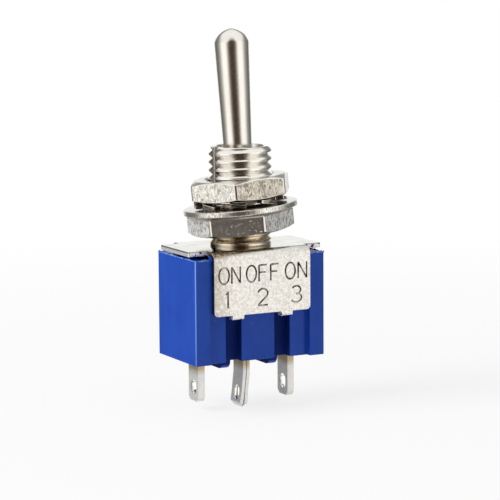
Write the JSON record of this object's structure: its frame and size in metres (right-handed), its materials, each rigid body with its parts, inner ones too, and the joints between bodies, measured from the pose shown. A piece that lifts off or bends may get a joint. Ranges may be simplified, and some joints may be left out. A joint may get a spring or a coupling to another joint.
{
  "type": "toggle switch",
  "caption": "Miniature panel-mount toggle switch, on-off-on: blue moulded case in a folded steel frame, threaded bushing with nuts and washers, bat lever and solder lugs.",
  "frame": {"origin": "on the bushing's axis, level with the top face of the steel frame that the bushing stands on", "axes": "+Z out along the bushing, X along the lever's throw and the row of lugs, -Y the lettered side"},
  "size_m": [0.0136, 0.0106, 0.0351],
  "materials": {
    "moulded_blue": "moulded thermoset, slightly glossy",
    "frame_steel": "bright plated sheet steel",
    "nickel": "nickel plated",
    "tinned_copper": "tin plated copper alloy",
    "silver": "silver contact",
    "contact_bronze": "bare copper alloy",
    "spring_steel": "spring wire",
    "nylon": "natural nylon"
  },
  "bodies": {
    "switch_body": {"case": "moulded_blue", "steel_frame": "frame_steel", "bushing": "nickel", "common_terminal": "tinned_copper", "left_terminal": "tinned_copper", "right_terminal": "tinned_copper", "left_fixed_contact": "silver", "right_fixed_contact": "silver"},
    "lever": {"lever": "nickel", "pivot_pin": "spring_steel", "plunger_spring": "spring_steel"},
    "plunger": {"plunger": "nylon"},
    "rocker": {"rocker": "contact_bronze", "left_moving_contact": "silver", "right_moving_contact": "silver"},
    "locating_washer": {"locating_washer": "nickel"},
    "lower_nut": {"lower_nut": "nickel"},
    "lock_washer": {"lock_washer": "frame_steel"},
    "upper_nut": {"upper_nut": "nickel"}
  },
  "joints": [
    {"name": "lever_pivot", "type": "hinge", "parent": "switch_body", "child": "lever", "pos_m": [0, 0, 0.0048], "axis": [0, 1, 0], "range_deg": [-7.7, 14.3]},
    {"name": "rocker_tilt", "type": "hinge", "parent": "switch_body", "child": "rocker", "pos_m": [0, 0, -0.0061], "axis": [0, 1, 0], "range_deg": [-9.89, 5.33]},
    {"name": "plunger_slide", "type": "slide", "parent": "lever", "child": "plunger", "axis": [-0.0576, 0, 0.9983], "range_m": [0, 0.0004], "stiffness_N_per_m": 200, "deforming": ["plunger_spring"]},
    {"name": "locating_washer_slide", "type": "slide", "parent": "switch_body", "child": "locating_washer", "axis": [0, 0, 1], "range_m": [-0.0006, 0]},
    {"name": "lower_nut_turn", "type": "hinge", "parent": "locating_washer", "child": "lower_nut", "pos_m": [0, 0, 0.00211], "axis": [-0.0823, 0.0419, 0.9957], "range_deg": [-288.1, 0]},
    {"name": "lock_washer_slide", "type": "slide", "parent": "switch_body", "child": "lock_washer", "axis": [0, 0, 1], "range_m": [0, 0.0024]},
    {"name": "upper_nut_turn", "type": "hinge", "parent": "lock_washer", "child": "upper_nut", "pos_m": [0, 0, 0.00531], "axis": [-0.0823, 0.0419, 0.9957], "range_deg": [0, 1152.1]}
  ],
  "couplings": [
    {"joint": "rocker_tilt", "follows": "lever_pivot", "ratio": -0.69},
    {"joint": "lower_nut_turn", "follows": "locating_washer_slide", "rad_per_m": 8377.6},
    {"joint": "upper_nut_turn", "follows": "lock_washer_slide", "rad_per_m": 8377.6}
  ]
}
